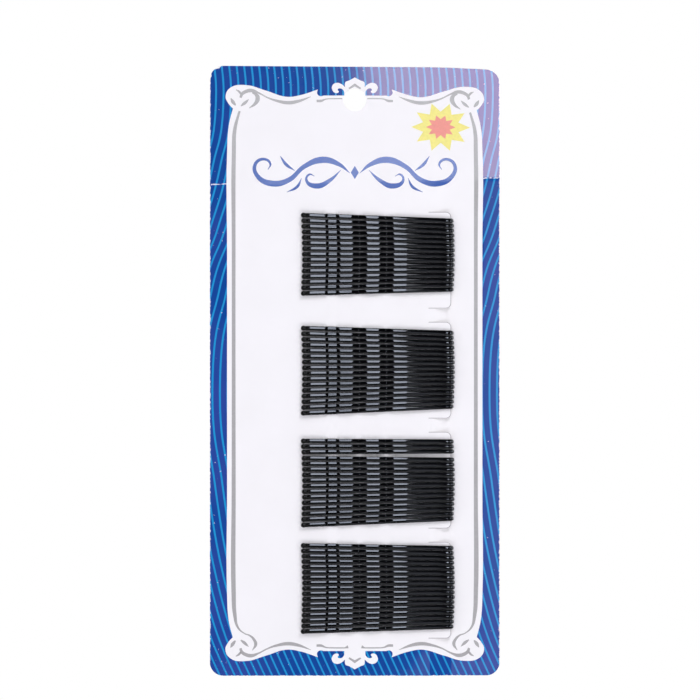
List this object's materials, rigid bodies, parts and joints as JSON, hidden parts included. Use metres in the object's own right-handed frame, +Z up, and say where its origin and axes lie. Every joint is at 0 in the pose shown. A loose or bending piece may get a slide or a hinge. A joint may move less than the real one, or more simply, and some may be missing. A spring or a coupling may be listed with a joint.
{
  "type": "carded bobby pin set",
  "caption": "Hang card of ball-tip bobby pins: crimped spring-wire pins in fanned rows draw off die-cut tongues, and their front legs spring open.",
  "frame": {"origin": "centre of the hang hole, in the middle of the board", "axes": "+Z up as the card hangs, +X to the right seen from the front, +Y to the back; the header leans back 5 degrees at its crease"},
  "size_m": [0.0948, 0.0069, 0.1993],
  "materials": {
    "card": "printed and varnished paperboard",
    "wire": "gloss black enamel on flat spring steel",
    "tip": "dipped gloss black resin"
  },
  "bodies": {
    "hang_card": {"hang_card": "card"},
    "row_1": {"row_1_middle_straight_legs": "wire", "row_1_middle_straight_tips": "tip"},
    "row_1_fronts": {"row_1_middle_crimped_legs": "wire", "row_1_middle_crimped_tips": "tip"},
    "row_1_upper": {"row_1_upper_straight_legs": "wire", "row_1_upper_straight_tips": "tip"},
    "row_1_upper_fronts": {"row_1_upper_crimped_legs": "wire", "row_1_upper_crimped_tips": "tip"},
    "row_1_lower": {"row_1_lower_straight_legs": "wire", "row_1_lower_straight_tips": "tip"},
    "row_1_lower_fronts": {"row_1_lower_crimped_legs": "wire", "row_1_lower_crimped_tips": "tip"},
    "row_2": {"row_2_middle_straight_legs": "wire", "row_2_middle_straight_tips": "tip"},
    "row_2_fronts": {"row_2_middle_crimped_legs": "wire", "row_2_middle_crimped_tips": "tip"},
    "row_2_upper": {"row_2_upper_straight_legs": "wire", "row_2_upper_straight_tips": "tip"},
    "row_2_upper_fronts": {"row_2_upper_crimped_legs": "wire", "row_2_upper_crimped_tips": "tip"},
    "row_2_lower": {"row_2_lower_straight_legs": "wire", "row_2_lower_straight_tips": "tip"},
    "row_2_lower_fronts": {"row_2_lower_crimped_legs": "wire", "row_2_lower_crimped_tips": "tip"},
    "row_3": {"row_3_middle_straight_legs": "wire", "row_3_middle_straight_tips": "tip"},
    "row_3_fronts": {"row_3_middle_crimped_legs": "wire", "row_3_middle_crimped_tips": "tip"},
    "row_3_upper": {"row_3_upper_straight_legs": "wire", "row_3_upper_straight_tips": "tip"},
    "row_3_upper_fronts": {"row_3_upper_crimped_legs": "wire", "row_3_upper_crimped_tips": "tip"},
    "row_3_lower": {"row_3_lower_straight_legs": "wire", "row_3_lower_straight_tips": "tip"},
    "row_3_lower_fronts": {"row_3_lower_crimped_legs": "wire", "row_3_lower_crimped_tips": "tip"},
    "row_4": {"row_4_middle_straight_legs": "wire", "row_4_middle_straight_tips": "tip"},
    "row_4_fronts": {"row_4_middle_crimped_legs": "wire", "row_4_middle_crimped_tips": "tip"},
    "row_4_upper": {"row_4_upper_straight_legs": "wire", "row_4_upper_straight_tips": "tip"},
    "row_4_upper_fronts": {"row_4_upper_crimped_legs": "wire", "row_4_upper_crimped_tips": "tip"},
    "row_4_lower": {"row_4_lower_straight_legs": "wire", "row_4_lower_straight_tips": "tip"},
    "row_4_lower_fronts": {"row_4_lower_crimped_legs": "wire", "row_4_lower_crimped_tips": "tip"}
  },
  "joints": [
    {"name": "row_1_draw_off", "type": "slide", "parent": "hang_card", "child": "row_1", "axis": [1, 0, 0], "range_m": [0, 0.052]},
    {"name": "row_1_spring_open", "type": "hinge", "parent": "row_1", "child": "row_1_fronts", "pos_m": [0.03272, -0.00235, -0.04129], "axis": [0, 0, 1], "range_deg": [0, 12], "stiffness_Nm_per_rad": 1.3},
    {"name": "row_1_upper_draw_off", "type": "slide", "parent": "row_1", "child": "row_1_upper", "axis": [1, 0, 0], "range_m": [0, 0.052]},
    {"name": "row_1_upper_spring_open", "type": "hinge", "parent": "row_1_upper", "child": "row_1_upper_fronts", "pos_m": [0.03229, -0.00235, -0.03969], "axis": [0, 0, 1], "range_deg": [0, 12], "stiffness_Nm_per_rad": 0.1},
    {"name": "row_1_lower_draw_off", "type": "slide", "parent": "row_1", "child": "row_1_lower", "axis": [1, 0, 0], "range_m": [0, 0.052]},
    {"name": "row_1_lower_spring_open", "type": "hinge", "parent": "row_1_lower", "child": "row_1_lower_fronts", "pos_m": [0.03232, -0.00235, -0.06209], "axis": [0, 0, 1], "range_deg": [0, 12], "stiffness_Nm_per_rad": 0.1},
    {"name": "row_2_draw_off", "type": "slide", "parent": "hang_card", "child": "row_2", "axis": [1, 0, 0], "range_m": [0, 0.052]},
    {"name": "row_2_spring_open", "type": "hinge", "parent": "row_2", "child": "row_2_fronts", "pos_m": [0.03273, -0.00235, -0.07794], "axis": [0, 0, 1], "range_deg": [0, 12], "stiffness_Nm_per_rad": 1.4},
    {"name": "row_2_upper_draw_off", "type": "slide", "parent": "row_2", "child": "row_2_upper", "axis": [1, 0, 0], "range_m": [0, 0.052]},
    {"name": "row_2_upper_spring_open", "type": "hinge", "parent": "row_2_upper", "child": "row_2_upper_fronts", "pos_m": [0.03232, -0.00235, -0.07634], "axis": [0, 0, 1], "range_deg": [0, 12], "stiffness_Nm_per_rad": 0.1},
    {"name": "row_2_lower_draw_off", "type": "slide", "parent": "row_2", "child": "row_2_lower", "axis": [1, 0, 0], "range_m": [0, 0.052]},
    {"name": "row_2_lower_spring_open", "type": "hinge", "parent": "row_2_lower", "child": "row_2_lower_fronts", "pos_m": [0.03226, -0.00235, -0.10034], "axis": [0, 0, 1], "range_deg": [0, 12], "stiffness_Nm_per_rad": 0.1},
    {"name": "row_3_draw_off", "type": "slide", "parent": "hang_card", "child": "row_3", "axis": [1, 0, 0], "range_m": [0, 0.052]},
    {"name": "row_3_spring_open", "type": "hinge", "parent": "row_3", "child": "row_3_fronts", "pos_m": [0.03272, -0.00235, -0.11777], "axis": [0, 0, 1], "range_deg": [0, 12], "stiffness_Nm_per_rad": 1.2},
    {"name": "row_3_upper_draw_off", "type": "slide", "parent": "row_3", "child": "row_3_upper", "axis": [1, 0, 0], "range_m": [0, 0.052]},
    {"name": "row_3_upper_spring_open", "type": "hinge", "parent": "row_3_upper", "child": "row_3_upper_fronts", "pos_m": [0.03249, -0.00235, -0.11182], "axis": [0, 0, 1], "range_deg": [0, 12], "stiffness_Nm_per_rad": 0.3},
    {"name": "row_3_lower_draw_off", "type": "slide", "parent": "row_3", "child": "row_3_lower", "axis": [1, 0, 0], "range_m": [0, 0.052]},
    {"name": "row_3_lower_spring_open", "type": "hinge", "parent": "row_3_lower", "child": "row_3_lower_fronts", "pos_m": [0.0323, -0.00235, -0.13697], "axis": [0, 0, 1], "range_deg": [0, 12], "stiffness_Nm_per_rad": 0.1},
    {"name": "row_4_draw_off", "type": "slide", "parent": "hang_card", "child": "row_4", "axis": [1, 0, 0], "range_m": [0, 0.052]},
    {"name": "row_4_spring_open", "type": "hinge", "parent": "row_4", "child": "row_4_fronts", "pos_m": [0.03272, -0.00235, -0.14824], "axis": [0, 0, 1], "range_deg": [0, 12], "stiffness_Nm_per_rad": 1.5},
    {"name": "row_4_upper_draw_off", "type": "slide", "parent": "row_4", "child": "row_4_upper", "axis": [1, 0, 0], "range_m": [0, 0.052]},
    {"name": "row_4_upper_spring_open", "type": "hinge", "parent": "row_4_upper", "child": "row_4_upper_fronts", "pos_m": [0.0323, -0.00235, -0.14664], "axis": [0, 0, 1], "range_deg": [0, 12], "stiffness_Nm_per_rad": 0.1},
    {"name": "row_4_lower_draw_off", "type": "slide", "parent": "row_4", "child": "row_4_lower", "axis": [1, 0, 0], "range_m": [0, 0.052]},
    {"name": "row_4_lower_spring_open", "type": "hinge", "parent": "row_4_lower", "child": "row_4_lower_fronts", "pos_m": [0.03227, -0.00235, -0.17225], "axis": [0, 0, 1], "range_deg": [0, 12], "stiffness_Nm_per_rad": 0.1}
  ]
}
